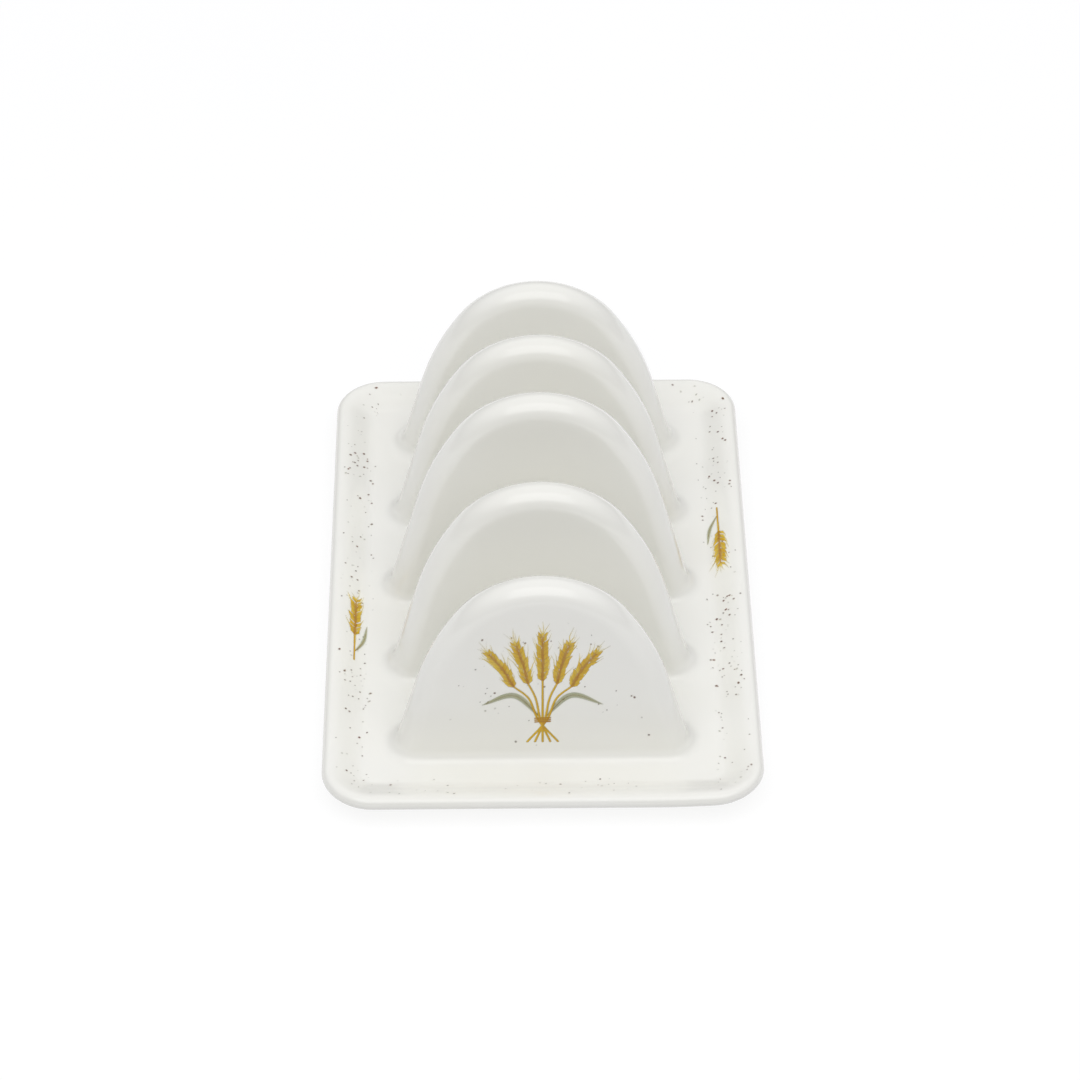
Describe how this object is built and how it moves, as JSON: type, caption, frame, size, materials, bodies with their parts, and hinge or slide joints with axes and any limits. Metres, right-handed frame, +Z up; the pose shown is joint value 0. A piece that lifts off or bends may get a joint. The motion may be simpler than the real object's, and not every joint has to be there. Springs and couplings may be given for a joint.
{
  "type": "toast rack",
  "caption": "Glazed ceramic toast rack: a shallow rectangular tray with hollow arched dividers rising to the middle, and a fired-on printed border and end panel.",
  "frame": {"origin": "centre of the resting face under the foot ring", "axes": "+X across the rack, +Y along the row of dividers away from the decorated end, +Z up"},
  "size_m": [0.11, 0.17, 0.0694],
  "materials": {
    "glaze": "gloss",
    "bare_ceramic": "matte",
    "print": "gloss"
  },
  "bodies": {
    "root": {"tray": "glaze", "foot_ring": "bare_ceramic", "divider_1": "glaze", "divider_2": "glaze", "divider_3": "glaze", "divider_4": "glaze", "divider_5": "glaze", "front_transfer": "print", "left_border_transfer": "print", "right_border_transfer": "print", "near_border_transfer": "print", "far_border_transfer": "print"}
  },
  "joints": []
}
